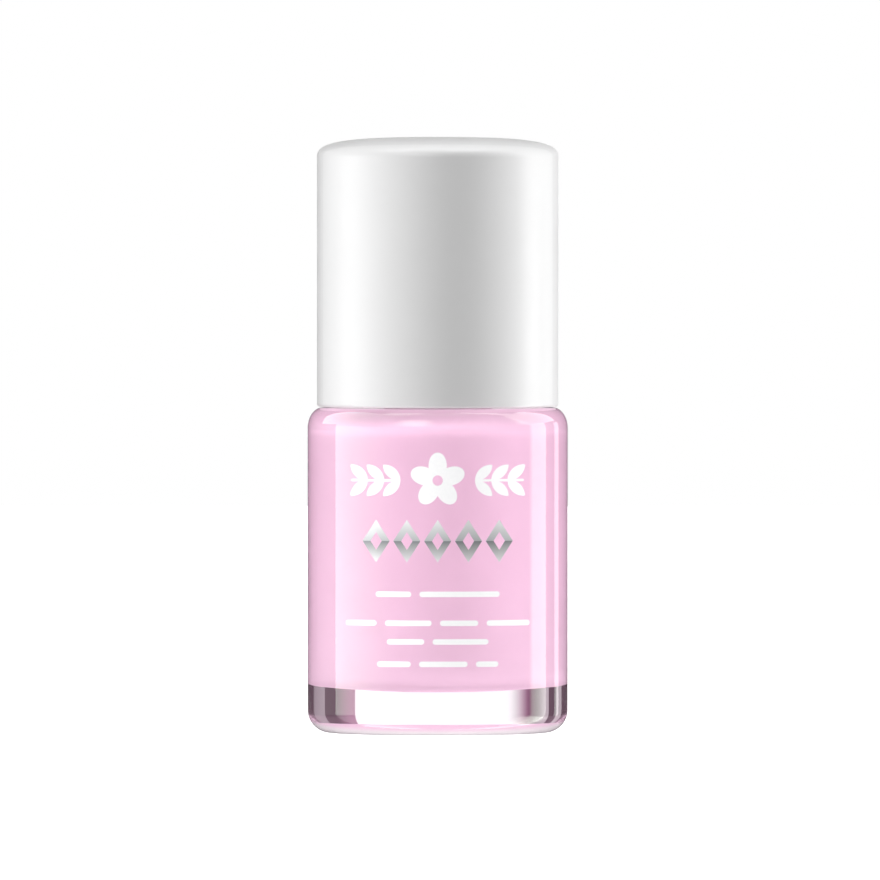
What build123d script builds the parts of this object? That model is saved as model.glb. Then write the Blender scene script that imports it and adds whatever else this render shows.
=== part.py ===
from build123d import *
import os
from math import cos, radians, sin

# Nail polish bottle with its brush cap screwed on. Millimetres, +Z up, the front print faces -Y.
# The origin is the centre of the plane the bottle stands on.

# ---- Driving dimensions: glass bottle ----
body_diameter = 28.0
shoulder_height = 35.0  # from the stand plane to the flat of the shoulder
side_wall = 2.4
floor_height = 4.9  # thick clear base, measured at the foot of the inner wall
floor_dish = 0.4  # the inner floor is this much lower at its centre
floor_corner = 3.5
base_corner = 2.4
recess_radius = 10.2  # shallow recess under the base, inside the standing ring
recess_depth = 0.4
recess_round = 0.25
shoulder_reach = 1.6  # how far the elliptical shoulder edge reaches inwards
shoulder_drop = 2.2  # and downwards
shoulder_wall = 1.4
inner_shoulder = 1.8
throat_round = 2.0

# ---- Driving dimensions: neck finish, a 13 mm screw finish with 12 threads to the inch ----
neck_diameter = 11.4
thread_diameter = 13.0
neck_height = 11.0
bore_diameter = 7.6
lip_round = 0.35
neck_root = 0.5
thread_lead = 25.4 / 12
thread_turns = 1.5
neck_thread_round = 0.65
neck_thread_below_lip = 1.4

# ---- Driving dimensions: contents ----
fill_height = 32.8
liquid_film = 0.02  # the liquid is drawn this much inside the glass
ball_diameter = 4.5
ball_circle = 8.0  # radius on which the two balls lie
ball_angles = (-35.0, 155.0)
ball_rest_gap = 0.02
liquid_clearance = 0.15

# ---- Driving dimensions: overcap ----
cap_diameter = 26.0
cap_length = 29.05
cap_gap = 0.1  # between the overcap's rim and the shoulder
cap_wall = 1.4
cap_roof = 2.0
crown_drop = 2.1  # height of the domed crown
crown_pull = 10.0  # how far out the crown stays nearly flat
crown_corner = 0.5
rim_round = 0.3
sleeve_wall = 0.9
sleeve_lift = 2.0  # the inner sleeve starts this far above the overcap's rim
web_count = 8
web_thickness = 0.9
web_lift = 5.0
stop_count = 4  # short stops that seat on the inner cap
stop_length = 1.4

# ---- Driving dimensions: inner cap ----
inner_cap_radius = 8.0
knurl_count = 40
knurl_radius = 0.2
knurl_inset = 0.8  # plain band left above and below the knurls
inner_cap_wall = 0.9
inner_cap_lift = 0.7  # above the shoulder
inner_cap_roof = 1.4
thread_clearance = 0.05
cap_thread_round = 0.5
press_gap = 0.02  # press-fitted pieces are drawn this far apart

# ---- Driving dimensions: brush ----
gasket_thickness = 0.5
gasket_inner_radius = 3.85
gasket_outer_radius = 5.5
flange_radius = 5.6
flange_thickness = 0.4
plug_clearance = 0.04
plug_length = 3.1
plug_lead = 0.5
wand_top_radius = 2.1
wand_tip_radius = 1.55
wand_tip_height = 20.0
stub_radius = 2.0
stub_head_radius = 2.6
stub_head_height = 0.6
socket_radius = 1.2
socket_depth = 3.2
tuft_clearance = 0.03
tuft_belly_radius = 1.75
tuft_tip_radius = 0.7
tuft_tip_height = 6.5
staple_height = 1.0
staple_width = 2.7
staple_thickness = 0.3

# ---- Driving dimensions: print and label ----
ink_gap = 0.01
ink_thickness = 0.05
label_radius = 9.2
label_thickness = 0.12
label_gap = 0.02

# ---- Driving dimensions: white ink, a blossom between two leafy sprigs and dashed rules below ----
blossom_height = 27.4
petal_count = 5
petal_length = 1.4
petal_width = 0.98
petal_circle = 1.6
blossom_eye = 0.55
sprig_leaves = 3
leaf_length = 2.5
leaf_bulge = 0.55
leaf_start = 4.0
leaf_pitch = 1.75
leaf_lean = 42.0
stem_thickness = 0.26
rule_thickness = 0.6
rule_gap = 0.9
rules = [  # height of each rule above the base, with the lengths of its dashes
    (15.2, (3.8, 8.6)),
    (12.1, (3.3, 5.0, 4.1, 4.6)),
    (10.1, (4.0, 6.0)),
    (7.7, (3.6, 5.2, 2.4)),
]

# ---- Driving dimensions: silver ink, a row of open lozenges ----
lozenge_height_above_base = 20.9
lozenge_count = 5
lozenge_width = 2.9
lozenge_height = 4.6
lozenge_pitch = 3.3
lozenge_opening = 0.42  # share of each lozenge that is left open

# ---- Worked-out sizes ----
body_radius = body_diameter / 2
inner_radius = body_radius - side_wall
ceiling_height = shoulder_height - shoulder_wall
neck_radius = neck_diameter / 2
bore_radius = bore_diameter / 2
thread_radius = thread_diameter / 2
neck_top = shoulder_height + neck_height
thread_height = thread_lead * thread_turns
neck_thread_start = neck_top - neck_thread_below_lip - thread_height

cap_radius = cap_diameter / 2
cap_bottom = shoulder_height + cap_gap
cap_top = cap_bottom + cap_length
cap_inner_radius = cap_radius - cap_wall
cap_ceiling = cap_top - cap_roof

gasket_top = neck_top + gasket_thickness
flange_top = gasket_top + flange_thickness
inner_cap_bottom = shoulder_height + inner_cap_lift
inner_roof_height = flange_top + press_gap
inner_cap_top = inner_roof_height + inner_cap_roof
inner_cap_bore = inner_cap_radius - inner_cap_wall
cap_thread_start = neck_thread_start - thread_lead / 2
sleeve_radius = inner_cap_radius + knurl_radius + press_gap
sleeve_outer_radius = sleeve_radius + sleeve_wall

plug_radius = bore_radius - plug_clearance
plug_bottom = gasket_top - plug_length
staple_top = wand_tip_height + socket_depth
staple_middle = staple_top - staple_height / 2
tuft_root_radius = socket_radius - tuft_clearance
tuft_top = staple_top - staple_height - tuft_clearance
tuft_belly_height = (wand_tip_height + tuft_tip_height) / 2
well_radius = wand_top_radius + liquid_clearance
well_foot = tuft_tip_height - liquid_clearance + well_radius

print_plane = Plane.XZ.offset(body_radius + 1)
print_reach = -body_radius
ball_radius = ball_diameter / 2
ball_height = floor_height + ball_radius + ball_rest_gap


def cavity(inset, mode):
    """The hollow of the bottle below its neck, drawn smaller by inset all round."""
    radius = inner_radius - inset
    floor = floor_height + inset
    ceiling = ceiling_height - inset
    flat_radius = radius - floor_corner
    roof_radius = radius - inner_shoulder
    with BuildSketch(Plane.XZ) as section:
        with BuildLine():
            TangentArc((0, floor - floor_dish), (flat_radius, floor), tangent=(1, 0))
            CenterArc((flat_radius, floor + floor_corner), floor_corner, -90, 90)
            Line((radius, floor + floor_corner), (radius, ceiling - inner_shoulder))
            CenterArc((roof_radius, ceiling - inner_shoulder), inner_shoulder, 0, 90)
            Polyline((roof_radius, ceiling), (0, ceiling), (0, floor - floor_dish))
        make_face()
    revolve(section.sketch, axis=Axis.Z, mode=mode)


def thread_bead(centre_radius, start_height, bead_radius):
    """A round helical bead with a ball-shaped run-out at each end."""
    with BuildLine() as path:
        Helix(thread_lead, thread_height, centre_radius, center=(0, 0, start_height))
    helix = path.line.edge()
    start = helix @ 0
    with BuildSketch(Plane(origin=start, x_dir=(start.X, start.Y, 0), z_dir=helix % 0)) as section:
        Circle(bead_radius)
    sweep(section.sketch, path=helix, is_frenet=True)
    for end in (start, helix @ 1):
        with Locations(end):
            Sphere(bead_radius)


# ---- Glass bottle ----
with BuildPart() as glass_bottle:
    with BuildSketch(Plane.XZ):
        with BuildLine():
            FilletPolyline(
                (0, recess_depth),
                (recess_radius, recess_depth),
                (recess_radius + recess_depth, 0),
                (body_radius - base_corner, 0),
                radius=recess_round,
            )
            CenterArc((body_radius - base_corner, base_corner), base_corner, -90, 90)
            Line((body_radius, base_corner), (body_radius, shoulder_height - shoulder_drop))
            EllipticalCenterArc(
                (body_radius - shoulder_reach, shoulder_height - shoulder_drop),
                shoulder_reach,
                shoulder_drop,
                start_angle=0,
                arc_size=90,
            )
            Line((body_radius - shoulder_reach, shoulder_height), (neck_radius + neck_root, shoulder_height))
            CenterArc((neck_radius + neck_root, shoulder_height + neck_root), neck_root, -90, -90)
            Line((neck_radius, shoulder_height + neck_root), (neck_radius, neck_top - lip_round))
            CenterArc((neck_radius - lip_round, neck_top - lip_round), lip_round, 0, 90)
            Line((neck_radius - lip_round, neck_top), (0, neck_top))
            Line((0, neck_top), (0, recess_depth))
        make_face()
    revolve(axis=Axis.Z)
    thread_bead(thread_radius - neck_thread_round, neck_thread_start, neck_thread_round)
    cavity(0, Mode.SUBTRACT)
    with BuildSketch(Plane.XZ):
        with BuildLine():
            Polyline(
                (0, neck_top),
                (bore_radius + lip_round, neck_top),
            )
            CenterArc((bore_radius + lip_round, neck_top - lip_round), lip_round, 90, 90)
            Line((bore_radius, neck_top - lip_round), (bore_radius, ceiling_height + throat_round))
            CenterArc(
                (bore_radius + throat_round, ceiling_height + throat_round), throat_round, 180, 90
            )
            Polyline(
                (bore_radius + throat_round, ceiling_height),
                (0, ceiling_height),
                (0, neck_top),
            )
        make_face()
    revolve(axis=Axis.Z, mode=Mode.SUBTRACT)

# ---- Mixing balls: two loose steel balls on the inner floor ----
ball_centres = [
    (ball_circle * cos(radians(angle)), ball_circle * sin(radians(angle)), ball_height)
    for angle in ball_angles
]

with BuildPart() as mixing_ball_a:
    with Locations(ball_centres[0]):
        Sphere(ball_radius)

with BuildPart() as mixing_ball_b:
    with Locations(ball_centres[1]):
        Sphere(ball_radius)

# ---- Lacquer: the liquid, with room left for the brush and the balls ----
with BuildPart() as lacquer:
    cavity(liquid_film, Mode.ADD)
    split(bisect_by=Plane.XY.offset(fill_height), keep=Keep.BOTTOM)
    with Locations((0, 0, well_foot)):
        Cylinder(
            well_radius,
            fill_height - well_foot,
            align=(Align.CENTER, Align.CENTER, Align.MIN),
            mode=Mode.SUBTRACT,
        )
        Sphere(well_radius, mode=Mode.SUBTRACT)
    with Locations(*ball_centres):
        Sphere(ball_radius + liquid_clearance, mode=Mode.SUBTRACT)

# ---- Sealing gasket: flat ring on the neck's lip ----
with BuildPart() as sealing_gasket:
    with BuildSketch(Plane.XY.offset(neck_top)):
        Circle(gasket_outer_radius)
        Circle(gasket_inner_radius, mode=Mode.SUBTRACT)
    extrude(amount=gasket_thickness)

# ---- Brush wand: stub and head held by the inner cap, sealing flange, neck plug, tapered stem ----
with BuildPart() as brush_wand:
    with BuildSketch(Plane.XZ):
        with BuildLine():
            Polyline(
                (0, inner_cap_top + stub_head_height),
                (stub_radius, inner_cap_top + stub_head_height),
                (stub_head_radius, inner_cap_top + press_gap),
                (stub_radius - press_gap, inner_cap_top + press_gap),
                (stub_radius - press_gap, flange_top),
                (flange_radius, flange_top),
                (flange_radius, gasket_top),
                (plug_radius, gasket_top),
                (plug_radius, plug_bottom + plug_lead),
                (plug_radius - plug_lead, plug_bottom),
                (wand_top_radius, plug_bottom),
                (wand_tip_radius, wand_tip_height),
                (0, wand_tip_height),
                close=True,
            )
        make_face()
    revolve(axis=Axis.Z)
    with Locations((0, 0, wand_tip_height)):
        Cylinder(
            socket_radius,
            socket_depth,
            align=(Align.CENTER, Align.CENTER, Align.MIN),
            mode=Mode.SUBTRACT,
        )
    with Locations((0, 0, staple_middle)):
        Box(
            staple_width + 2 * press_gap,
            staple_thickness + 2 * press_gap,
            staple_height,
            mode=Mode.SUBTRACT,
        )

# ---- Bristles: the tuft, slim in the wand's socket, fuller at the belly, domed at the tip ----
with BuildPart() as brush_bristles:
    with BuildSketch(Plane.XZ):
        with BuildLine():
            Polyline((0, tuft_tip_height), (0, tuft_top), (tuft_root_radius, tuft_top))
            Line((tuft_root_radius, tuft_top), (tuft_root_radius, wand_tip_height))
            Spline(
                (tuft_root_radius, wand_tip_height),
                (tuft_belly_radius, tuft_belly_height),
                (tuft_tip_radius, tuft_tip_height + tuft_tip_radius / 2),
                tangents=((0, -1), (-1, -1)),
            )
            Line(
                (tuft_tip_radius, tuft_tip_height + tuft_tip_radius / 2),
                (0, tuft_tip_height),
            )
        make_face()
    revolve(axis=Axis.Z)

# ---- Anchor staple: the flat metal pin that holds the folded tuft in the socket ----
with BuildPart() as anchor_staple:
    with Locations((0, 0, staple_middle)):
        Box(staple_width, staple_thickness, staple_height - press_gap)

# ---- Inner cap: knurled screw closure that holds the brush ----
with BuildPart() as inner_cap:
    with BuildSketch(Plane.XZ):
        with BuildLine():
            Polyline(
                (inner_cap_bore, inner_cap_bottom),
                (inner_cap_radius, inner_cap_bottom),
                (inner_cap_radius, inner_cap_top),
                (stub_radius, inner_cap_top),
                (stub_radius, inner_roof_height),
                (inner_cap_bore, inner_roof_height),
                close=True,
            )
        make_face()
    revolve(axis=Axis.Z)
    thread_bead(thread_radius + thread_clearance + cap_thread_round, cap_thread_start, cap_thread_round)
    with BuildSketch(Plane.XY.offset(inner_cap_bottom + knurl_inset)):
        with PolarLocations(inner_cap_radius, knurl_count):
            Circle(knurl_radius)
    extrude(amount=inner_cap_top - inner_cap_bottom - 2 * knurl_inset)

# ---- Overcap: domed outer shell, inner sleeve that grips the inner cap, and joining webs ----
with BuildPart() as overcap:
    with BuildSketch(Plane.XZ):
        with BuildLine():
            Bezier(
                (0, cap_top),
                (crown_pull, cap_top),
                (cap_radius, cap_top - crown_corner),
                (cap_radius, cap_top - crown_drop),
            )
            Line((cap_radius, cap_top - crown_drop), (cap_radius, cap_bottom + rim_round))
            CenterArc((cap_radius - rim_round, cap_bottom + rim_round), rim_round, 0, -90)
            Polyline(
                (cap_radius - rim_round, cap_bottom),
                (cap_inner_radius, cap_bottom),
                (cap_inner_radius, cap_ceiling),
                (0, cap_ceiling),
                (0, cap_top),
            )
        make_face()
    revolve(axis=Axis.Z)
    with BuildSketch(Plane.XY.offset(cap_bottom + sleeve_lift)):
        Circle(sleeve_outer_radius)
        Circle(sleeve_radius, mode=Mode.SUBTRACT)
    extrude(amount=cap_ceiling - cap_bottom - sleeve_lift)
    with BuildSketch(Plane.XY.offset(cap_bottom + web_lift)):
        with PolarLocations((sleeve_outer_radius + cap_inner_radius) / 2, web_count):
            Rectangle(cap_inner_radius - sleeve_outer_radius + cap_wall, web_thickness)
    extrude(amount=cap_ceiling - cap_bottom - web_lift)
    with BuildSketch(Plane.XY.offset(inner_cap_top + press_gap)):
        with PolarLocations(sleeve_radius, stop_count):
            Rectangle(stop_length, web_thickness)
    extrude(amount=cap_ceiling - inner_cap_top - press_gap)

# ---- Base label: plain round sticker in the recess under the base ----
with BuildPart() as base_label:
    with BuildSketch(Plane.XY.offset(recess_depth - label_gap - label_thickness)):
        Circle(label_radius)
    extrude(amount=label_thickness)


# ---- Front print: two inks on the outside of the glass ----
def wrap_onto_glass():
    """Keep only the thin layer of the current solid that lies on the bottle's front wall."""
    ink_inner_radius = body_radius + ink_gap
    with BuildSketch() as layer:
        Circle(ink_inner_radius + ink_thickness)
        Circle(ink_inner_radius, mode=Mode.SUBTRACT)
    extrude(layer.sketch, amount=shoulder_height, mode=Mode.INTERSECT)


def leaf(lean):
    """A pointed leaf growing from the local origin, leaning this many degrees from the stem."""
    with BuildSketch(mode=Mode.PRIVATE) as blade:
        with BuildLine():
            SagittaArc((0, 0), (leaf_length, 0), leaf_bulge)
            SagittaArc((leaf_length, 0), (0, 0), leaf_bulge)
        make_face()
    return blade.sketch.rotate(Axis.Z, lean)


with BuildPart() as print_white:
    with BuildSketch(print_plane):
        with Locations((0, blossom_height)):
            with PolarLocations(petal_circle, petal_count, start_angle=90):
                Ellipse(petal_length, petal_width)
            Circle(blossom_eye, mode=Mode.SUBTRACT)
        for side in (0, 180):
            for step in range(sprig_leaves):
                away = leaf_start + step * leaf_pitch
                for lean in (leaf_lean, -leaf_lean):
                    with Locations(Location((away * cos(radians(side)), blossom_height), side)):
                        add(leaf(lean))
            with Locations(Location((0, blossom_height), side)):
                with Locations((leaf_start + sprig_leaves * leaf_pitch / 2, 0)):
                    SlotOverall(sprig_leaves * leaf_pitch, stem_thickness)
        for height, dashes in rules:
            along = -(sum(dashes) + rule_gap * (len(dashes) - 1)) / 2
            for dash in dashes:
                with Locations((along + dash / 2, height)):
                    SlotOverall(dash, rule_thickness)
                along += dash + rule_gap
    extrude(amount=print_reach)
    wrap_onto_glass()

with BuildPart() as print_silver:
    with BuildSketch(print_plane):
        with Locations((0, lozenge_height_above_base)):
            with GridLocations(lozenge_pitch, 0, lozenge_count, 1):
                Polygon(
                    (lozenge_width / 2, 0),
                    (0, lozenge_height / 2),
                    (-lozenge_width / 2, 0),
                    (0, -lozenge_height / 2),
                )
                Polygon(
                    (lozenge_opening * lozenge_width / 2, 0),
                    (0, lozenge_opening * lozenge_height / 2),
                    (-lozenge_opening * lozenge_width / 2, 0),
                    (0, -lozenge_opening * lozenge_height / 2),
                    mode=Mode.SUBTRACT,
                )
    extrude(amount=print_reach)
    wrap_onto_glass()

# ---- Export ----
pieces = {
    "glass_bottle": glass_bottle,
    "lacquer": lacquer,
    "mixing_ball_a": mixing_ball_a,
    "mixing_ball_b": mixing_ball_b,
    "base_label": base_label,
    "print_white": print_white,
    "print_silver": print_silver,
    "sealing_gasket": sealing_gasket,
    "brush_wand": brush_wand,
    "brush_bristles": brush_bristles,
    "anchor_staple": anchor_staple,
    "inner_cap": inner_cap,
    "overcap": overcap,
}
os.makedirs("parts", exist_ok=True)
for name, piece in pieces.items():
    piece.part.label = name
    export_step(piece.part, f"parts/{name}.step")
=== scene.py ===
"""Looks of a nail polish bottle with its brush cap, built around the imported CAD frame.

Everything is in metres in the row's frame: the bottle stands on z = 0, its print faces -Y.
Profiles are written in millimetres and scaled by MM when a mesh is made.
"""

import math
from random import Random

import bpy
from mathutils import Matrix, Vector


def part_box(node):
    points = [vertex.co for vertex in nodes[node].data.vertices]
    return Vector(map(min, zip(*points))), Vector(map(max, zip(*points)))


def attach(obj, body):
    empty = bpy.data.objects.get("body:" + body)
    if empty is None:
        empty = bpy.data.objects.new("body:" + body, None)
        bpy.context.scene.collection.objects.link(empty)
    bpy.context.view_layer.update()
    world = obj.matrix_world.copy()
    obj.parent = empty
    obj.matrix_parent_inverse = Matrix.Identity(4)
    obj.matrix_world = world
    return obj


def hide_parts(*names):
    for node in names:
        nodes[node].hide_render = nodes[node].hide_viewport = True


MM = 0.001
TINY = 1e-6
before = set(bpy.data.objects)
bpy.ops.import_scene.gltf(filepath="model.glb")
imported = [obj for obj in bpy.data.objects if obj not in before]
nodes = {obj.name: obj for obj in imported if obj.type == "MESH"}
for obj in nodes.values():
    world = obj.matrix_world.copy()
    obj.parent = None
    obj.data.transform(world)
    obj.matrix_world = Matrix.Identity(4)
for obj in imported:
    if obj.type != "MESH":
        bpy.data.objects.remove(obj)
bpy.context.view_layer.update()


def top(node):
    """A node's highest corner, in millimetres."""
    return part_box(node)[1] / MM


def foot(node):
    """A node's lowest corner, in millimetres."""
    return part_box(node)[0] / MM


# ---- Sizes in millimetres, taken from the frame or repeated from the design ----
BODY_RADIUS = top("glass_bottle").x
NECK_TOP = top("glass_bottle").z
SHOULDER = 35.0
SIDE_WALL = 2.4
SHOULDER_WALL = 1.4
INNER_RADIUS = BODY_RADIUS - SIDE_WALL
FLOOR = 4.9
FLOOR_DISH = 0.4
FLOOR_CORNER = 3.5
BASE_CORNER = 2.4
RECESS_RADIUS = 10.2
RECESS_DEPTH = 0.4
RECESS_ROUND = 0.25
SHOULDER_REACH = 1.6
SHOULDER_DROP = 2.2
CEILING = SHOULDER - SHOULDER_WALL
INNER_SHOULDER = 1.8
THROAT_ROUND = 2.0
NECK_RADIUS = 5.7
NECK_ROOT = 0.5
BORE_RADIUS = 3.8
LIP_ROUND = 0.35
THREAD_RADIUS = 6.5
THREAD_LEAD = 25.4 / 12  # twelve threads to the inch
THREAD_TURNS = 1.5
THREAD_ROUND = 0.65
THREAD_BELOW_LIP = 1.4
THREAD_CENTRE = THREAD_RADIUS - THREAD_ROUND
THREAD_START = NECK_TOP - THREAD_BELOW_LIP - THREAD_LEAD * THREAD_TURNS
FILL = top("lacquer").z
FILM_TOP = 40.0  # wet film in the neck ends below the plug
FILM_THICKNESS = 0.15
WET_OVERLAP = 0.01  # the liquid reaches this far into the glass, so no air shows between them


# ---- Object helpers ----
def arc(centre, radii, start, end, count=12):
    """Points on an ellipse's arc, from start to end in degrees."""
    points = []
    for i in range(count + 1):
        angle = math.radians(start + (end - start) * i / count)
        points.append((centre[0] + radii[0] * math.cos(angle), centre[1] + radii[1] * math.sin(angle)))
    return points


def line(start, end, count=1):
    """Points along a straight line, without its first point."""
    return [
        (start[0] + (end[0] - start[0]) * i / count, start[1] + (end[1] - start[1]) * i / count)
        for i in range(1, count + 1)
    ]


def without_repeats(outline):
    """The outline without points that repeat the one before."""
    kept = [outline[0]]
    for point in outline[1:]:
        if math.dist(point, kept[-1]) > TINY:
            kept.append(point)
    return kept


def lathe(name, outline, segments=192, radius_at=None):
    """A closed solid turned from an outline of (radius, height) that starts and ends on the axis."""
    vertices = []
    rings = []
    for radius, height in without_repeats(outline):
        if radius < TINY:
            rings.append([len(vertices)] * segments)
            vertices.append((0, 0, height * MM))
            continue
        ring = []
        for i in range(segments):
            angle = 2 * math.pi * i / segments
            r = radius_at(angle, radius, height) if radius_at else radius
            ring.append(len(vertices))
            vertices.append((r * MM * math.cos(angle), r * MM * math.sin(angle), height * MM))
        rings.append(ring)
    faces = []
    for low, high in zip(rings, rings[1:]):
        for i in range(segments):
            j = (i + 1) % segments
            corners = [low[i], low[j], high[j], high[i]]
            face = [c for k, c in enumerate(corners) if c != corners[k - 1]]
            if len(face) > 2:
                faces.append(face)
    return mesh_object(name, vertices, faces)


def place(name, data):
    """A new object in the scene."""
    placed = bpy.data.objects.new(name, data)
    bpy.context.scene.collection.objects.link(placed)
    return placed


def mesh_object(name, vertices, faces, sharp_angle=35):
    """A smooth-shaded mesh object with sharp edges kept."""
    mesh = bpy.data.meshes.new(name)
    mesh.from_pydata(vertices, [], faces)
    mesh.validate()
    mesh.shade_smooth()
    mesh.set_sharp_from_angle(angle=math.radians(sharp_angle))
    return place(name, mesh)


def dress(piece, material):
    """Gives a piece one material."""
    piece.data.materials.clear()
    piece.data.materials.append(material)


def stand_for(piece, node, body):
    """Puts a piece in its CAD node's place, on the node's body."""
    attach(piece, body)
    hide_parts(node)


def hide_from(piece, *rays):
    """Leaves a piece out of what these kinds of ray see."""
    for ray in rays:
        setattr(piece, "visible_" + ray, False)


def shine_only_on(light, *pieces):
    """Lets a lamp or a glowing panel reach these pieces alone."""
    reached = bpy.data.collections.new(light.name + "_reach")
    for piece in pieces:
        reached.objects.link(piece)
    light.light_linking.receiver_collection = reached


# ---- Node trees ----
class Nodes:
    """A node tree with short ways to add and link nodes."""

    def __init__(self, tree):
        self.tree = tree

    def add(self, kind, **settings):
        node = self.tree.nodes.new(kind)
        for key, value in settings.items():
            setattr(node, key, value)
        return node

    def link(self, source, target):
        self.tree.links.new(source, target)

    def split(self, vector):
        """The three parts of a vector."""
        node = self.add("ShaderNodeSeparateXYZ")
        self.link(vector, node.inputs[0])
        return node.outputs

    def join(self, parts):
        """A vector made of three parts."""
        node = self.add("ShaderNodeCombineXYZ")
        for part, socket in zip(parts, node.inputs):
            self.link(part, socket)
        return node.outputs[0]

    def math(self, operation, a, b=0.0):
        node = self.add("ShaderNodeMath", operation=operation)
        for value, socket in ((a, node.inputs[0]), (b, node.inputs[1])):
            if isinstance(value, (int, float)):
                socket.default_value = value
            else:
                self.link(value, socket)
        return node.outputs[0]

    def between(self, value, low, high, result_low=0.0, result_high=1.0, smooth=True):
        """Value mapped from low..high to result_low..result_high, held outside that range."""
        node = self.add("ShaderNodeMapRange", interpolation_type="SMOOTHSTEP" if smooth else "LINEAR")
        self.link(value, node.inputs["Value"])
        node.inputs["From Min"].default_value = low
        node.inputs["From Max"].default_value = high
        node.inputs["To Min"].default_value = result_low
        node.inputs["To Max"].default_value = result_high
        return node.outputs["Result"]

    def mix_shaders(self, share, first, second):
        node = self.add("ShaderNodeMixShader")
        for source, socket in zip((share, first, second), node.inputs):
            self.link(source, socket)
        return node.outputs[0]


class Shader(Nodes):
    """A material's node tree, around its Principled surface."""

    def __init__(self, name):
        self.material = bpy.data.materials.new(name)
        self.material.use_nodes = True
        super().__init__(self.material.node_tree)
        self.surface = self.tree.nodes["Principled BSDF"]

    def set(self, **values):
        for key, value in values.items():
            self.surface.inputs[key.replace("_", " ")].default_value = value

    def position(self):
        """The point's place in the row's frame at rest, in metres."""
        return self.add("ShaderNodeTexCoord").outputs["Object"]

    def height(self):
        return self.split(self.position())[2]

    def facing(self):
        """0 where the surface is seen square on, 1 where it is seen edge on."""
        weight = self.add("ShaderNodeLayerWeight")
        weight.inputs["Blend"].default_value = 0.5
        return weight.outputs["Facing"]

    def noise(self, size_mm, detail=3.0, stretch=(1, 1, 1)):
        """Noise with features of about this size, from 0 to 1."""
        scale = self.add("ShaderNodeVectorMath", operation="MULTIPLY")
        self.link(self.position(), scale.inputs[0])
        scale.inputs[1].default_value = stretch
        noise = self.add("ShaderNodeTexNoise")
        self.link(scale.outputs[0], noise.inputs["Vector"])
        noise.inputs["Scale"].default_value = 1 / (size_mm * MM)
        noise.inputs["Detail"].default_value = detail
        return noise.outputs["Fac"]

    def mix(self, share, first, second):
        """A colour mixed from two colours, or from sockets."""
        node = self.add("ShaderNodeMix", data_type="RGBA")
        self.link(share, node.inputs["Factor"])
        for colour, socket in ((first, node.inputs[6]), (second, node.inputs[7])):
            if isinstance(colour, tuple):
                socket.default_value = (*colour, 1)
            else:
                self.link(colour, socket)
        return node.outputs[2]

    def colour(self, socket):
        self.link(socket, self.surface.inputs["Base Color"])

    def rough(self, low, high, size_mm):
        """Roughness that wanders between two values."""
        wander = self.between(self.noise(size_mm), 0.3, 0.7, low, high)
        self.link(wander, self.surface.inputs["Roughness"])

    def bump(self, height, depth_mm, strength):
        node = self.add("ShaderNodeBump")
        node.inputs["Distance"].default_value = depth_mm * MM
        node.inputs["Strength"].default_value = strength
        self.link(height, node.inputs["Height"])
        self.link(node.outputs["Normal"], self.surface.inputs["Normal"])


def darker(colour, share):
    return tuple(share * c for c in colour)


# ---- Materials ----
PINK = (0.95, 0.645, 0.82)
PINK_DEEP = (0.90, 0.60, 0.78)
# painted light: the pale pink painted on the lacquer's underside where it is seen from below
PINK_PAINTED_LIT = (1.0, 0.94, 0.97)
MIRROR_TINT = (0.8, 1.0, 0.78, 1.0)  # keeps the highlights neutral over the pink
GLASS_SHADE = (0.5, 0.5, 0.5, 1)
CAP_WHITE = (0.84, 0.84, 0.84)
CAP_WHITE_PALER = (0.86, 0.86, 0.862)
# painted shade along the cap's rim, where the shell is seen edge on
CAP_RIM_PAINTED_SHADE = (0.81, 0.81, 0.81)


def glass_material():
    shader = Shader("clear_glass")
    shader.set(Base_Color=(1.0, 1.0, 1.0, 1.0), IOR=1.5, Transmission_Weight=1.0, Specular_Tint=MIRROR_TINT)
    shader.rough(0.0, 0.012, size_mm=6.0)
    shader.bump(shader.noise(7.0, detail=1.0, stretch=(1, 1, 0.4)), depth_mm=0.01, strength=0.25)
    # light for the lacquer behind the glass comes straight through
    path = shader.add("ShaderNodeLightPath")
    clear = shader.add("ShaderNodeBsdfTransparent")
    clear.inputs["Color"].default_value = GLASS_SHADE
    glass = shader.mix_shaders(path.outputs["Is Shadow Ray"], shader.surface.outputs[0], clear.outputs[0])
    shader.link(glass, shader.tree.nodes["Material Output"].inputs["Surface"])
    return shader.material


def lacquer_material():
    shader = Shader("lacquer_pink")
    cloud = shader.between(shader.noise(4.0, detail=4.0), 0.35, 0.65)
    pink = shader.mix(cloud, PINK, darker(PINK, 0.985))
    # painted light: seen steeply from below, through the clear base, the underside is painted pale, as if
    # lit from below
    steep, shallow = -0.45, -0.2
    rise = shader.split(shader.add("ShaderNodeNewGeometry").outputs["Incoming"])[2]
    painted_lit_underside = shader.between(rise, steep, shallow, 1.0, 0.0)
    shader.colour(shader.mix(painted_lit_underside, pink, PINK_PAINTED_LIT))
    # only the free surface under the neck shines: against the glass there is no change of index
    dull_below, shines_above, shine = FILL - 0.3, FILL - 0.1, 0.5
    free = shader.between(shader.height(), dull_below * MM, shines_above * MM)
    shader.link(shader.math("MULTIPLY", free, shine), shader.surface.inputs["Specular IOR Level"])
    shader.rough(0.1, 0.16, size_mm=2.0)
    return shader.material


def coated_material(name, bare, rough, coat_top):
    """A brush part whose lower stretch is wet with lacquer up to about coat_top, in millimetres."""
    ragged, soft, wet_rough = 2.0, 0.1, 0.08
    shader = Shader(name)
    edge = shader.math("ADD", shader.height(), shader.math("MULTIPLY", shader.noise(1.6), ragged * MM))
    wet = shader.between(edge, (coat_top - soft) * MM, (coat_top + soft) * MM, 1.0, 0.0)
    mottled = shader.mix(shader.noise(0.8), bare, darker(bare, 0.9))
    shader.colour(shader.mix(wet, mottled, PINK_DEEP))
    shader.link(shader.between(wet, 0, 1, rough, wet_rough), shader.surface.inputs["Roughness"])
    shader.bump(shader.noise(0.3, stretch=(1, 1, 0.2)), depth_mm=0.01, strength=0.4)
    return shader.material


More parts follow.
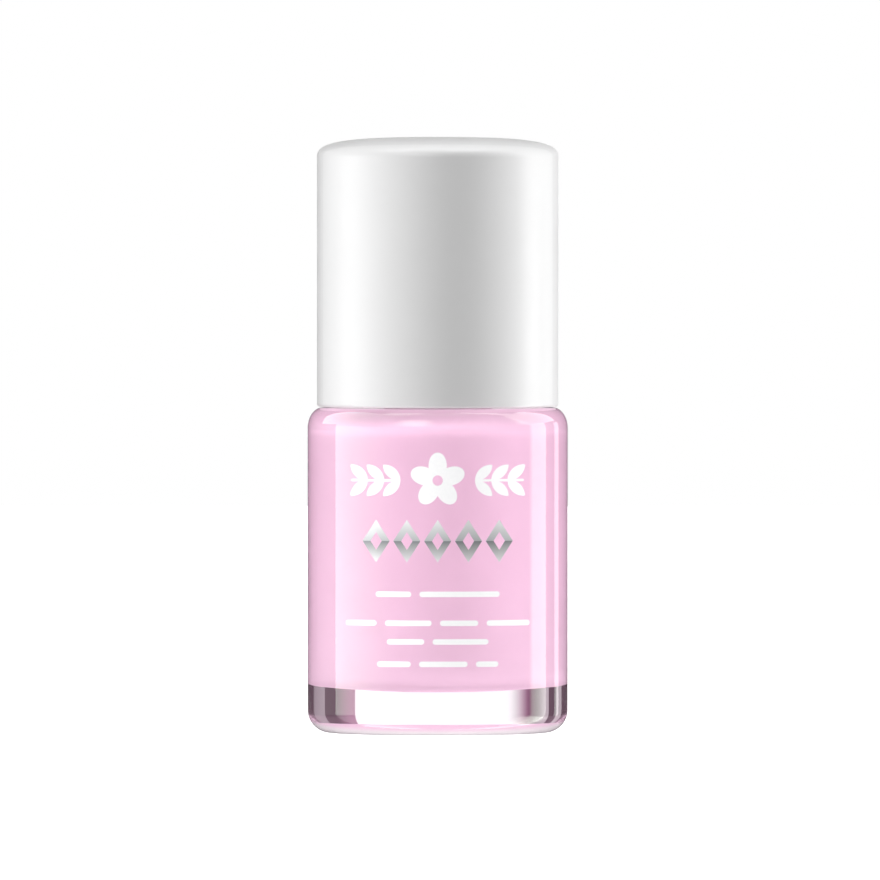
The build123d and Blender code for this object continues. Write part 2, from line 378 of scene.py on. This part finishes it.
def overcap_material():
    """Gloss white with painted shade: a slightly greyer rim where the shell is seen edge on."""
    rim_from, rim_to = 0.68, 0.70
    shader = Shader("overcap_white")
    white = shader.mix(shader.noise(5.0), CAP_WHITE, CAP_WHITE_PALER)
    shader.colour(shader.mix(shader.between(shader.facing(), rim_from, rim_to), white, CAP_RIM_PAINTED_SHADE))
    shader.rough(0.32, 0.38, size_mm=3.0)
    shader.set(Specular_IOR_Level=0.5)
    shader.bump(shader.noise(0.5, detail=2.0), depth_mm=0.002, strength=0.5)
    return shader.material


def moulded_material(name, colour, rough, grain_mm=0.25):
    shader = Shader(name)
    shader.colour(shader.mix(shader.noise(3.0), colour, darker(colour, 0.94)))
    shader.rough(rough, rough + 0.1, size_mm=1.5)
    shader.bump(shader.noise(grain_mm), depth_mm=0.01, strength=0.5)
    return shader.material


def steel_material():
    shader = Shader("stainless_steel")
    shader.colour(shader.mix(shader.noise(0.8), (0.56, 0.56, 0.57), (0.7, 0.7, 0.71)))
    shader.set(Metallic=1.0)
    shader.rough(0.08, 0.2, size_mm=0.6)
    shader.bump(shader.noise(0.15, stretch=(1, 1, 6)), depth_mm=0.002, strength=0.4)
    return shader.material


def label_material():
    shader = Shader("label_paper")
    fibres = shader.noise(0.25, detail=6.0, stretch=(1, 3, 1))
    shader.colour(shader.mix(fibres, (0.88, 0.88, 0.86), (0.8, 0.8, 0.78)))
    shader.rough(0.5, 0.65, size_mm=0.5)
    shader.bump(fibres, depth_mm=0.008, strength=0.5)
    return shader.material


def white_ink_material():
    shader = Shader("white_ink")
    shader.colour(shader.mix(shader.noise(0.3), (0.95, 0.95, 0.95), (0.88, 0.88, 0.89)))
    shader.rough(0.35, 0.5, size_mm=0.4)
    shader.bump(shader.noise(0.08, detail=2.0), depth_mm=0.006, strength=0.5)
    return shader.material


def silver_ink_material():
    """Foil with a painted reflection in its colour: from the top down it runs from pale to grey and then,
    below the middle, dark to pale.
    """
    shader = Shader("silver_foil")
    low, high = foot("print_silver").z * MM, top("print_silver").z * MM
    middle, blur = (low + high) / 2, 0.02 * MM
    height = shader.height()
    upper = shader.between(height, middle, high, smooth=False)
    lower = shader.between(height, low, middle, smooth=False)
    # painted reflection: pale above the middle, a dark break at the middle, lighter again below; the partly
    # metallic shine itself is real
    upper_painted_reflection = shader.mix(upper, (0.52, 0.54, 0.55), (0.95, 0.95, 0.95))
    lower_painted_reflection = shader.mix(lower, (0.88, 0.88, 0.88), (0.25, 0.26, 0.27))
    above = shader.between(height, middle - blur, middle + blur)
    shader.colour(shader.mix(above, lower_painted_reflection, upper_painted_reflection))
    shader.set(Metallic=0.35)
    shader.rough(0.3, 0.4, size_mm=0.5)
    shader.bump(shader.noise(0.1), depth_mm=0.004, strength=0.4)
    return shader.material


# ---- Pieces ----
def cavity_profile(grow=0.0):
    """The inside of the bottle from the floor's centre to the ceiling's inner edge, grown by grow."""
    radius = INNER_RADIUS + grow
    floor = FLOOR - grow
    ceiling = CEILING + grow
    flat = radius - FLOOR_CORNER
    steps = 12
    dish = [(flat * i / steps, floor - FLOOR_DISH * (1 - (i / steps) ** 2)) for i in range(steps + 1)]
    return (
        dish
        + arc((flat, floor + FLOOR_CORNER), (FLOOR_CORNER, FLOOR_CORNER), -90, 0)
        + line((radius, floor + FLOOR_CORNER), (radius, ceiling - INNER_SHOULDER), 6)
        + arc((radius - INNER_SHOULDER, ceiling - INNER_SHOULDER), (INNER_SHOULDER, INNER_SHOULDER), 0, 90)
    )


def neck_radius_at(angle, radius, height):
    """The neck's wall with its rounded screw thread, which runs out in half balls."""
    if abs(radius - NECK_RADIUS) > TINY:
        return radius
    turn = angle / (2 * math.pi)
    bulge = radius
    for lap in range(-1, 3):
        along = turn + lap
        inside = min(max(along, 0), THREAD_TURNS)
        off_end = (along - inside) * 2 * math.pi * THREAD_CENTRE
        off_line = height - (THREAD_START + THREAD_LEAD * inside)
        reach = THREAD_ROUND**2 - off_end**2 - off_line**2
        if reach > 0:
            bulge = max(bulge, THREAD_CENTRE + math.sqrt(reach))
    return bulge


def make_bottle():
    """The glass: recessed base, wall, shoulder, threaded neck, bore and hollow."""
    inner_edge = RECESS_RADIUS - RECESS_ROUND
    outer_edge = RECESS_RADIUS + RECESS_DEPTH + RECESS_ROUND
    recess_round = (RECESS_ROUND, RECESS_ROUND)
    shoulder_edge = BODY_RADIUS - SHOULDER_REACH
    shoulder_foot = SHOULDER - SHOULDER_DROP
    neck_edge = NECK_RADIUS + NECK_ROOT
    lip_foot = NECK_TOP - LIP_ROUND
    throat_top = CEILING + THROAT_ROUND

    outside = [(0, RECESS_DEPTH)]
    outside += line((0, RECESS_DEPTH), (inner_edge, RECESS_DEPTH), 10)
    outside += arc((inner_edge, RECESS_DEPTH - RECESS_ROUND), recess_round, 90, 45, 4)
    outside += arc((outer_edge, RECESS_ROUND), recess_round, 225, 270, 4)
    outside += line((outer_edge, 0), (BODY_RADIUS - BASE_CORNER, 0), 2)
    outside += arc((BODY_RADIUS - BASE_CORNER, BASE_CORNER), (BASE_CORNER, BASE_CORNER), -90, 0, 20)
    outside += line((BODY_RADIUS, BASE_CORNER), (BODY_RADIUS, shoulder_foot), 8)
    outside += arc((shoulder_edge, shoulder_foot), (SHOULDER_REACH, SHOULDER_DROP), 0, 90, 20)
    outside += line((shoulder_edge, SHOULDER), (neck_edge, SHOULDER), 8)
    outside += arc((neck_edge, SHOULDER + NECK_ROOT), (NECK_ROOT, NECK_ROOT), 270, 180, 6)
    outside += line((NECK_RADIUS, SHOULDER + NECK_ROOT), (NECK_RADIUS, lip_foot), 80)
    outside += arc((NECK_RADIUS - LIP_ROUND, lip_foot), (LIP_ROUND, LIP_ROUND), 0, 90, 6)

    inside = arc((BORE_RADIUS + LIP_ROUND, lip_foot), (LIP_ROUND, LIP_ROUND), 90, 180, 6)
    inside += line((BORE_RADIUS, lip_foot), (BORE_RADIUS, throat_top), 6)
    inside += arc((BORE_RADIUS + THROAT_ROUND, throat_top), (THROAT_ROUND, THROAT_ROUND), 180, 270)
    inside += reversed(cavity_profile())

    bottle = lathe("bottle_glass", outside + inside, radius_at=neck_radius_at)
    dress(bottle, glass_material())
    stand_for(bottle, "glass_bottle", "bottle")
    return bottle


def make_lacquer():
    """The liquid: it wets the glass all round, up to the shoulder, with a level surface under the neck."""
    wet = BORE_RADIUS + WET_OVERLAP
    film = BORE_RADIUS - FILM_THICKNESS
    throat = (BORE_RADIUS + THROAT_ROUND, CEILING + THROAT_ROUND)
    outer_round = THROAT_ROUND - WET_OVERLAP
    inner_round = THROAT_ROUND + FILM_THICKNESS
    surface_edge = (BORE_RADIUS + 1.0, FILL)
    profile = cavity_profile(WET_OVERLAP)
    profile += arc(throat, (outer_round, outer_round), 270, 180)
    profile += line((wet, throat[1]), (wet, FILM_TOP), 4)
    profile += line((wet, FILM_TOP), (film, FILM_TOP))
    profile += line((film, FILM_TOP), (film, throat[1]), 4)
    profile += arc(throat, (inner_round, inner_round), 180, 250)
    profile += line(surface_edge, (0, FILL), 8)
    lacquer = lathe("lacquer_fill", profile)
    dress(lacquer, lacquer_material())
    stand_for(lacquer, "lacquer", "bottle")


# The tuft's shape below the wand, as shares of its free length from the wand's end to the tip
BELLY_AT = 0.62
TAPER_FROM = 0.8


def tuft_radius(below):
    """The tuft's radius: it swells from the wand to a belly, then draws in to the tip."""
    root, belly, tip = 1.08, 1.72, 1.2
    swell = math.sin(math.pi * min(below, BELLY_AT) / (2 * BELLY_AT)) ** 1.2
    draw_in = max(0.0, (below - BELLY_AT) / (1 - BELLY_AT)) ** 1.6
    return root + (belly - root) * swell + (tip - belly) * draw_in


def make_bristles():
    """The tuft as separate filaments, each tapered at its end, on a sunflower pattern."""
    root_z, tip_z = top("brush_bristles").z, foot("brush_bristles").z
    wand_z = foot("brush_wand").z
    count, sides, rings = 300, 5, 16
    thread = 0.05  # radius of one filament
    dome = 1.6  # how much shorter the outer filaments are
    taper = 0.45
    golden = math.pi * (3 - math.sqrt(5))
    dice = Random(7)
    vertices, faces = [], []
    for k in range(count):
        share = math.sqrt((k + 0.5) / count)
        angle = k * golden
        end = tip_z + thread + dome * share**3 + dice.uniform(0, 0.25)
        sway = dice.uniform(-0.06, 0.06)
        start = len(vertices)
        for i in range(rings + 1):
            z = root_z + (end - root_z) * (i / rings)
            below = max(0.0, (wand_z - z) / (wand_z - tip_z))
            r = share * tuft_radius(below)
            turn = angle + sway * below * 2
            thick = thread * (1 - taper * max(0.0, below - TAPER_FROM) / (1 - TAPER_FROM))
            for s in range(sides):
                a = 2 * math.pi * s / sides
                x = r * math.cos(turn) + thick * math.cos(a)
                y = r * math.sin(turn) + thick * math.sin(a)
                vertices.append((x * MM, y * MM, z * MM))
        for i in range(rings):
            for s in range(sides):
                a, b = start + i * sides + s, start + i * sides + (s + 1) % sides
                faces.append((a, a + sides, b + sides, b))
        faces.append(tuple(start + s for s in range(sides)))
        faces.append(tuple(start + rings * sides + s for s in reversed(range(sides))))
    tuft = mesh_object("bristle_filaments", vertices, faces, sharp_angle=60)
    coat_top = wand_z + 2.5
    dress(tuft, coated_material("nylon_filaments", (0.03, 0.03, 0.035), 0.35, coat_top))
    stand_for(tuft, "brush_bristles", "bristles")


def dress_cad_nodes():
    wand_coat = FILL - 0.5
    dress(nodes["overcap"], overcap_material())
    dress(nodes["inner_cap"], moulded_material("inner_cap_plastic", (0.83, 0.83, 0.81), 0.35))
    dress(nodes["brush_wand"], coated_material("wand_plastic", (0.85, 0.85, 0.83), 0.35, wand_coat))
    dress(nodes["sealing_gasket"], moulded_material("gasket_foam", (0.8, 0.8, 0.77), 0.6, grain_mm=0.12))
    steel = steel_material()
    for name in ("mixing_ball_a", "mixing_ball_b", "anchor_staple"):
        dress(nodes[name], steel)
    dress(nodes["base_label"], label_material())
    dress(nodes["print_white"], white_ink_material())
    dress(nodes["print_silver"], silver_ink_material())
    # the inks and the sticker neither shade the lacquer nor show through the glass
    for name in ("print_white", "print_silver", "base_label"):
        hide_from(nodes[name], "shadow", "transmission")
    # the white shell casts no shadow, so it doesn't darken the shoulder under it
    hide_from(nodes["overcap"], "shadow")


# ---- Studio ----
# Azimuth 0 is where the camera stands and grows to the viewer's right. Each light's two sides are
# feathered by their own softness. All angles are in degrees.
LIGHTS = [
    # azimuth from, to, soft from, soft to, height from, to, softness, radiance.
    # Heights count both above and below the horizon.
    (-104, -30, 0.8, 70, 0, 50, 10, 1.2),  # left panel with a crisp edge, fading forwards
    (-104, -30, 0.8, 70, 46, 84, 5, 4.2),  # its top, caught by the shoulder and the crown
    (-104, -30, 0.8, 70, 0, 12, 3, 3.0),  # its brighter middle
    (-46, 0, 20, 16, 8, 50, 16, 4.4),  # front light
    (88, 113, 7, 0.8, 0, 50, 10, 3.8),  # right strip
    (74, 124, 12, 14, 10, 50, 10, 4.1),  # right key light
    (88, 113, 7, 0.8, 46, 84, 5, 3.4),  # top of the right strip
    (127, 137, 1, 1, 0, 12, 3, 2.0),  # thin strip at the right edge
    (-150, -104, 40, 0.5, 0, 12, 3, 0.5),  # dim card at the left edge
]
AMBIENT = 0.02
TOP_LIGHT = 1.6
TOP_LIGHT_FROM, TOP_LIGHT_FULL = 50, 80

# Rays that leave the glass see this set instead. Its patches are a white backdrop behind the object,
# with mauve cards and pale strips beside it. SET_FRONT adds white panels in front, at both sides and
# below, which count only for light that the lacquer scatters.
SET_FRONT = [
    # azimuth from, to, soft from, soft to, elevation from, to, softness, radiance
    (-112, 54, 8, 45, 0, 48, 16, 3.0),  # front, from the left
    (-35, 50, 30, 30, 0, 48, 16, 1.2),  # its middle
    (-150, -100, 10, 10, 0, 48, 16, 2.5),  # left side
    (95, 145, 10, 10, 0, 48, 16, 2.8),  # right side
    (-180, 180, 0.1, 0.1, -91, -55, 5, 3.0),  # below the clear base
]
SET_PATCHES = [
    # azimuth from, to, soft from, soft to, radiance of red, green and blue
    (113, 131, 3, 1, 0.30, 0.27, 0.29),  # pale strip, seen at the left
    (138, 152, 13, 1, 0.32, 0.14, 0.24),  # mauve card, fading to its dark edge
    (151, 214, 1, 12, 1.0, 1.0, 1.0),  # white backdrop
    (205, 219, 5, 8, 0.13, 0.02, 0.08),  # its mauve edge
    (213.5, 228, 14, 0.6, 0.45, 0.40, 0.43),  # pale strips, seen at the right
    (236, 246, 1, 1, 0.5, 0.46, 0.48),
]
SET_DARK = (0.15, 0.085, 0.12)
SET_GREYER_FROM, SET_GREYER_FULL, SET_GREYER = 12, 25, 0.16  # looking down through the glass


class World(Nodes):
    """The world's node tree, with bands of light around the object."""

    def __init__(self):
        world = bpy.data.worlds.new("studio")
        bpy.context.scene.world = world
        world.use_nodes = True
        super().__init__(world.node_tree)
        self.tree.nodes.clear()

    def minus(self, value):
        return self.math("MULTIPLY", value, -1.0)

    def band(self, value, low, high, soft_low, soft_high):
        """1 between low and high, feathered inwards."""
        rise = self.between(value, low, low + soft_low)
        fall = self.between(self.minus(value), -high, soft_high - high)
        return self.math("MULTIPLY", rise, fall)

    def background(self, colour=None):
        """Light of this colour, or plain white."""
        node = self.add("ShaderNodeBackground")
        if colour is None:
            node.inputs["Color"].default_value = (1, 1, 1, 1)
        else:
            self.link(colour, node.inputs["Color"])
        return node.outputs[0]


def make_lights(world, azimuth, around_back, elevation):
    """The lights that surfaces see."""
    height = world.math("ABSOLUTE", elevation)
    overhead = world.between(elevation, TOP_LIGHT_FROM, TOP_LIGHT_FULL)
    total = world.math("ADD", world.math("MULTIPLY", overhead, TOP_LIGHT), AMBIENT)
    for az_from, az_to, soft_from, soft_to, low, high, soft, radiance in LIGHTS:
        around = around_back if az_to > 180 else azimuth
        patch = world.band(around, az_from, az_to, soft_from, soft_to)
        # a light that starts at the horizon crosses it without a seam
        start = -soft if low == 0 else low
        patch = world.math("MULTIPLY", patch, world.band(height, start, high, soft, soft))
        total = world.math("ADD", total, world.math("MULTIPLY", patch, radiance))
    return world.background(world.join((total, total, total)))


def make_set(world, azimuth, around_back, elevation, diffuse_depth):
    """The set that rays see once they have left the glass."""
    front = 0.0
    for az_from, az_to, soft_from, soft_to, low, high, soft, radiance in SET_FRONT:
        patch = world.band(azimuth, az_from, az_to, soft_from, soft_to)
        patch = world.math("MULTIPLY", patch, world.band(elevation, low, high, soft, soft))
        front = world.math("ADD", front, world.math("MULTIPLY", patch, radiance))
    front = world.math("MULTIPLY", front, world.math("GREATER_THAN", diffuse_depth, 0.5))
    down = world.between(world.minus(elevation), SET_GREYER_FROM, SET_GREYER_FULL)
    tint = world.math("SUBTRACT", 1.0, world.math("MULTIPLY", down, SET_GREYER))
    shares = []
    for az_from, az_to, soft_from, soft_to, *_ in SET_PATCHES:
        around = around_back if az_to > 180 else azimuth
        shares.append(world.band(around, az_from, az_to, soft_from, soft_to))
    channels = []
    for channel, dark in enumerate(SET_DARK):
        value = world.math("ADD", front, dark)
        for share, (_, _, _, _, *radiance) in zip(shares, SET_PATCHES):
            value = world.math("ADD", value, world.math("MULTIPLY", share, radiance[channel]))
        channels.append(world.math("MULTIPLY", value, tint))
    return world.background(world.join(channels))


def make_world():
    """The studio: lights for surfaces, a set seen through the glass, and plain white for the camera."""
    world = World()
    x, y, z = world.split(world.add("ShaderNodeTexCoord").outputs["Generated"])
    to_degrees = 180 / math.pi
    azimuth = world.math("MULTIPLY", world.math("ARCTAN2", x, world.minus(y)), to_degrees)
    full_turn = world.math("MULTIPLY", world.math("LESS_THAN", azimuth, 0.0), 360.0)
    around_back = world.math("ADD", azimuth, full_turn)
    elevation = world.math("MULTIPLY", world.math("ARCSINE", z), to_degrees)
    path = world.add("ShaderNodeLightPath").outputs
    lights = make_lights(world, azimuth, around_back, elevation)
    seen_through = make_set(world, azimuth, around_back, elevation, path["Diffuse Depth"])
    shader = world.mix_shaders(path["Is Transmission Ray"], lights, seen_through)
    shader = world.mix_shaders(path["Is Camera Ray"], shader, world.background())
    world.link(shader, world.add("ShaderNodeOutputWorld").inputs["Surface"])


def make_floor():
    """A plain pale disc under the bottle, which merges with the backdrop where it is seen edge on."""
    radius, segments = 1.2, 96
    ring = []
    for i in range(segments):
        angle = 2 * math.pi * i / segments
        ring.append((radius * math.cos(angle), radius * math.sin(angle), 0))
    floor = mesh_object("studio_floor", ring, [tuple(range(segments))])
    shader = Shader("floor_pale")
    shader.colour(shader.mix(shader.noise(40.0), (0.58, 0.58, 0.58), (0.56, 0.56, 0.56)))
    shader.set(Roughness=0.9, Specular_IOR_Level=0.0, Emission_Color=(1, 1, 1, 1))
    glow_from_above, glow_edge_on = 0.1, 1.0
    glow = shader.between(shader.facing(), 0.8, 0.92, glow_from_above, glow_edge_on)
    shader.link(glow, shader.surface.inputs["Emission Strength"])
    dress(floor, shader.material)
    hide_from(floor, "diffuse", "glossy", "transmission", "shadow")


def make_camera():
    """A long lens a little above the middle of the object, at the picture's viewing angle."""
    distance = 2.5
    elevation = math.radians(1.0)
    frame_height = 94.8 * MM
    target = Vector((0.25 * MM, 0, 31.5 * MM))
    data = bpy.data.cameras.new("camera")
    data.sensor_width = 36
    data.lens = data.sensor_width * distance / frame_height
    data.clip_start, data.clip_end = 0.01, 10
    camera = place("camera", data)
    back = Vector((0, -math.cos(elevation), math.sin(elevation)))
    camera.location = target + back * distance
    camera.rotation_mode = "QUATERNION"
    camera.rotation_quaternion = (-back).to_track_quat("-Z", "Y")
    bpy.context.scene.camera = camera


def make_ink_light():
    """A soft front lamp that lights only the print, so that its white reads as white."""
    data = bpy.data.lights.new("print_lamp", "AREA")
    data.shape = "DISK"
    data.size = 0.25
    data.energy = 1.1
    lamp = place("print_lamp", data)
    lamp.location = (0, -0.5, 0.06)
    lamp.rotation_euler = (math.radians(86), 0, 0)
    hide_from(lamp, "camera", "glossy", "transmission")
    shine_only_on(lamp, nodes["print_white"], nodes["print_silver"])


def make_softbox(name, mirror, azimuths, heights, glow, fade):
    """A panel seen only in one piece, full at its outer side and fading towards the front.

    The fade runs between two places on the panel, in half widths from its middle.
    """
    distance = 0.5
    around = math.radians(sum(azimuths) / 2)
    up = math.radians(sum(heights) / 2)
    half_width = distance * math.tan(math.radians(azimuths[1] - azimuths[0]) / 2)
    half_height = distance * math.tan(math.radians(heights[1] - heights[0]) / 2)
    corners = [
        (-half_width, -half_height, 0),
        (half_width, -half_height, 0),
        (half_width, half_height, 0),
        (-half_width, half_height, 0),
    ]
    panel = mesh_object(name, corners, [(0, 1, 2, 3)])
    outwards = Vector((math.sin(around) * math.cos(up), -math.cos(around) * math.cos(up), math.sin(up)))
    panel.location = Vector((0, 0, SHOULDER * MM)) + outwards * distance
    panel.rotation_mode = "QUATERNION"
    panel.rotation_quaternion = (-outwards).to_track_quat("-Z", "Y")
    shader = Shader(name)
    shader.set(Base_Color=(0, 0, 0, 1), Emission_Color=(1, 1, 1, 1), Specular_IOR_Level=0.0)
    across = shader.split(shader.position())[0]
    strength = shader.between(across, fade[0] * half_width, fade[1] * half_width, glow, 0.0)
    shader.link(strength, shader.surface.inputs["Emission Strength"])
    dress(panel, shader.material)
    hide_from(panel, "camera", "diffuse", "transmission", "shadow")
    shine_only_on(panel, mirror)


bottle_glass = make_bottle()
make_lacquer()
make_bristles()
dress_cad_nodes()
make_world()
make_softbox("left_softbox", bottle_glass, (-128, -50), (11, 62), glow=3.4, fade=(-0.4, 1.0))
make_softbox("right_softbox", bottle_glass, (90, 132), (14, 52), glow=3.0, fade=(1.0, 1.1))
make_ink_light()
make_floor()
make_camera()
bpy.context.scene.view_settings.view_transform = "Standard"
